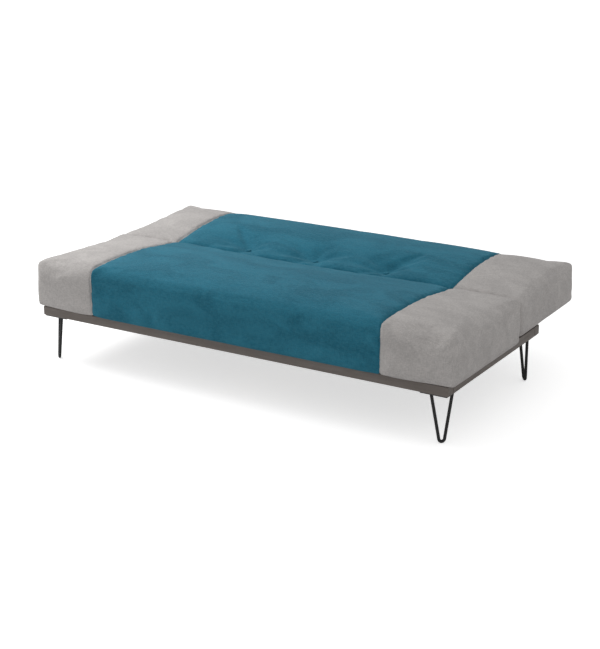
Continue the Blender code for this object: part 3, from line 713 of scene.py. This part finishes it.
def cutPiece(blank, cushion, name, low, high, material, replaced):
    # one sewn panel: the part of the shell between two seams, with its raw edges turned in
    look = cushionLook
    bm = bmesh.new()
    bm.from_mesh(blank.data)
    spanX, spanY = cushion["openUnder"]
    gone = []
    for face in bm.faces:
        middle = face.calc_center_median()
        outside = not low < middle.x < high
        overGap = spanX[0] < middle.x < spanX[1] and spanY[0] < middle.y < spanY[1]
        under = middle.z < look["underside"] and overGap
        if outside or under or isSlot(cushion, middle):
            gone.append(face)
    bmesh.ops.delete(bm, geom=gone, context="FACES")
    raw = [e for e in bm.edges if e.is_boundary]
    turned = bmesh.ops.extrude_edge_only(bm, edges=raw)
    fresh = [item for item in turned["geom"] if isinstance(item, bmesh.types.BMVert)]
    middleY, middleZ = cushion["depth"] / 2, look["middleHeight"]
    for vert in fresh:
        if abs(abs(vert.co.x) - seamX) < 0.004:
            inward = Vector((0.0, middleY - vert.co.y, middleZ - vert.co.z)).normalized()
            aside = math.copysign(look["seamGap"], (low + high) / 2 - vert.co.x)
            vert.co += inward * look["turnIn"] + Vector((aside, 0, 0))
        else:
            vert.co.z += look["hemRise"]
    bmesh.ops.recalc_face_normals(bm, faces=bm.faces)
    piece = objectFrom(bm, name)
    piece.data.shade_smooth()
    piece.data.materials.append(material)
    standInRow(piece, cushion)
    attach(piece, cushion["name"])
    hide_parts(*replaced)


def makeCushion(cushion):
    blank = blankCushion(cushion)
    puffUp(blank, cushion)
    refine(blank)
    sewSeams(blank)
    side = cushion["name"]
    cutPiece(blank, cushion, side + "CushionCentre", -seamX, seamX, tealMaterial,
             [side + "_cover_centre", side + "_foam"])
    past = cushionLook["pastEnds"]
    cutPiece(blank, cushion, side + "CushionLeft", -past, -seamX, greyMaterial,
             [side + "_cover_left"])
    cutPiece(blank, cushion, side + "CushionRight", seamX, past, greyMaterial,
             [side + "_cover_right"])
    bpy.data.objects.remove(blank)
    print(side, "cushion sewn")


makeCushion(seatCushion)
makeCushion(backCushion)


# tufting buttons

buttonLook = {"radius": 0.0130, "height": 0.0075, "sides": 36, "pleats": 9, "pleatDepth": 0.018,
              "profile": ((0.80, 0.0), (0.97, 0.10), (1.0, 0.30), (0.95, 0.52), (0.82, 0.75), (0.60, 0.92),
                          (0.34, 0.99), (0.12, 0.97))}


def makeButton(number):
    low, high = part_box(f"tuft_button_{number}")
    centre = (low + high) / 2
    bm = bmesh.new()
    rings = []
    for reach, height in buttonLook["profile"]:
        ring = []
        for step in range(buttonLook["sides"]):
            angle = math.tau * step / buttonLook["sides"]
            pleat = 1.0 + buttonLook["pleatDepth"] * math.cos(angle * buttonLook["pleats"]) * (1 - height)
            ring.append(bm.verts.new((math.cos(angle) * buttonLook["radius"] * reach * pleat,
                                      math.sin(angle) * buttonLook["radius"] * reach * pleat,
                                      buttonLook["height"] * height)))
        rings.append(ring)
    for near, far in zip(rings, rings[1:]):
        for step in range(len(near)):
            after = (step + 1) % len(near)
            bm.faces.new((near[step], near[after], far[after], far[step]))
    bm.faces.new(rings[0][::-1])
    bm.faces.new(rings[-1])
    button = objectFrom(bm, f"tuftButton{number}")
    button.data.shade_smooth()
    button.data.materials.append(tealMaterial)
    button.data.transform(Matrix.Translation((centre.x, centre.y, low.z)))
    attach(button, "back")
    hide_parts(f"tuft_button_{number}")


for number in (1, 2, 3):
    makeButton(number)
print("buttons covered")


# screws that hold each leg's plate to the rails, counted in from the plate's outer corner

legScrew = {"radius": 0.0045, "dome": 0.0022, "sides": 24, "lobes": 0.05, "plate": 0.0040,
            "places": ((0.090, 0.012), (0.050, 0.012), (0.012, 0.050), (0.012, 0.090))}
# each ring of a head: its radius, its height and how far it follows the six lobes of the recess
headRings = ((1.0, 0.0, 0), (1.0, 0.25, 0), (0.86, 0.66, 0), (0.62, 0.92, 0), (0.42, 1.0, 0),
             (0.34, 0.97, 1), (0.28, 0.35, 1))


def addScrew(bm, centre):
    rings = []
    for reach, rise, lobed in headRings:
        ring = []
        for step in range(legScrew["sides"]):
            turn = math.tau * step / legScrew["sides"]
            radius = legScrew["radius"] * (reach + lobed * legScrew["lobes"] * math.cos(6 * turn))
            away = Vector((radius * math.cos(turn), radius * math.sin(turn), -legScrew["dome"] * rise))
            ring.append(bm.verts.new(centre + away))
        rings.append(ring)
    for near, far in zip(rings, rings[1:]):
        for step in range(legScrew["sides"]):
            after = (step + 1) % legScrew["sides"]
            bm.faces.new((near[step], far[step], far[after], near[after]))
    bm.faces.new(rings[-1])
    bm.faces.new(rings[0][::-1])


def makeLegScrews():
    bm = bmesh.new()
    for across, inY in (("front", 1), ("rear", -1)):
        for along, inX in (("left", 1), ("right", -1)):
            low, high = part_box(f"hairpin_leg_{across}_{along}")
            cornerX = low.x if inX > 0 else high.x
            cornerY = low.y if inY > 0 else high.y
            for stepX, stepY in legScrew["places"]:
                place = (cornerX + inX * stepX, cornerY + inY * stepY, high.z - legScrew["plate"])
                addScrew(bm, Vector(place))
    bmesh.ops.recalc_face_normals(bm, faces=bm.faces)
    screws = objectFrom(bm, "legScrews")
    screws.data.materials.append(zincMaterial)
    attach(screws, "base")


makeLegScrews()
print("leg screws set")


# stage, light and camera

stageLook = {"floor": (0.80, 0.80, 0.80), "lift": 0.62, "light": 0.63, "seen": 1.05}

floorMesh = bpy.data.meshes.new("floor")
floorMesh.from_pydata([(-12, -12, 0), (12, -12, 0), (12, 12, 0), (-12, 12, 0)], [], [(0, 1, 2, 3)])
floor = bpy.data.objects.new("floor", floorMesh)
bpy.context.scene.collection.objects.link(floor)
floorMaterial, floorTree, floorShader, floorVector = newMaterial("paleFloor")
speck = noiseNode(floorTree, (-800, 0), Scale=3.0, Detail=3.0)
floorTree.links.new(floorVector, speck.inputs["Vector"])
floorTree.links.new(mixColour(floorTree, speck.outputs["Fac"], tuple(0.985 * c for c in stageLook["floor"]),
                              stageLook["floor"], (-400, 0)), floorShader.inputs["Base Color"])
floorShader.inputs["Roughness"].default_value = 0.75
path = addNode(floorTree, "ShaderNodeLightPath", (-800, -300))
floorTree.links.new(mixColour(floorTree, path.outputs["Is Camera Ray"], (0, 0, 0), (stageLook["lift"],) * 3,
                              (-400, -300)), floorShader.inputs["Emission Color"])
floorShader.inputs["Emission Strength"].default_value = 1.0
floorMesh.materials.append(floorMaterial)

world = bpy.data.worlds.new("studio")
world.use_nodes = True
sky = world.node_tree.nodes["Background"]
sky.inputs["Color"].default_value = (1, 1, 1, 1)
seen = addNode(world.node_tree, "ShaderNodeLightPath", (-600, 0))
extra = stageLook["seen"] - stageLook["light"]
lifted = mathNode(world.node_tree, "MULTIPLY", seen.outputs["Is Camera Ray"], extra, (-400, 0))
world.node_tree.links.new(mathNode(world.node_tree, "ADD", lifted, stageLook["light"], (-200, 0)),
                          sky.inputs["Strength"])
bpy.context.scene.world = world

lamps = {
    "leftSoft": {"at": (-2.1, -0.5, 2.0), "size": 1.4, "power": 32.0, "colour": (1.0, 1.0, 1.0)},
}
for name, lamp in lamps.items():
    light = bpy.data.lights.new(name, "AREA")
    light.shape = "DISK"
    light.size = lamp["size"]
    light.energy = lamp["power"]
    light.color = lamp["colour"]
    holder = bpy.data.objects.new(name, light)
    holder.location = lamp["at"]
    aim = Vector((0.0, 0.0, 0.3)) - Vector(lamp["at"])
    holder.rotation_euler = aim.to_track_quat("-Z", "Y").to_euler()
    bpy.context.scene.collection.objects.link(holder)

cameraPlace = {"at": (3.051, -5.085, 2.123), "down": 18.37, "turn": 31.12, "lens": 83.8}
camera = bpy.data.objects.new("camera", bpy.data.cameras.new("camera"))
camera.location = cameraPlace["at"]
camera.rotation_euler = (math.radians(90 - cameraPlace["down"]), 0.0, math.radians(cameraPlace["turn"]))
camera.data.lens = cameraPlace["lens"]
camera.data.sensor_width = 36
bpy.context.scene.collection.objects.link(camera)
bpy.context.scene.camera = camera
bpy.context.scene.view_settings.view_transform = "Standard"
print("stage set")
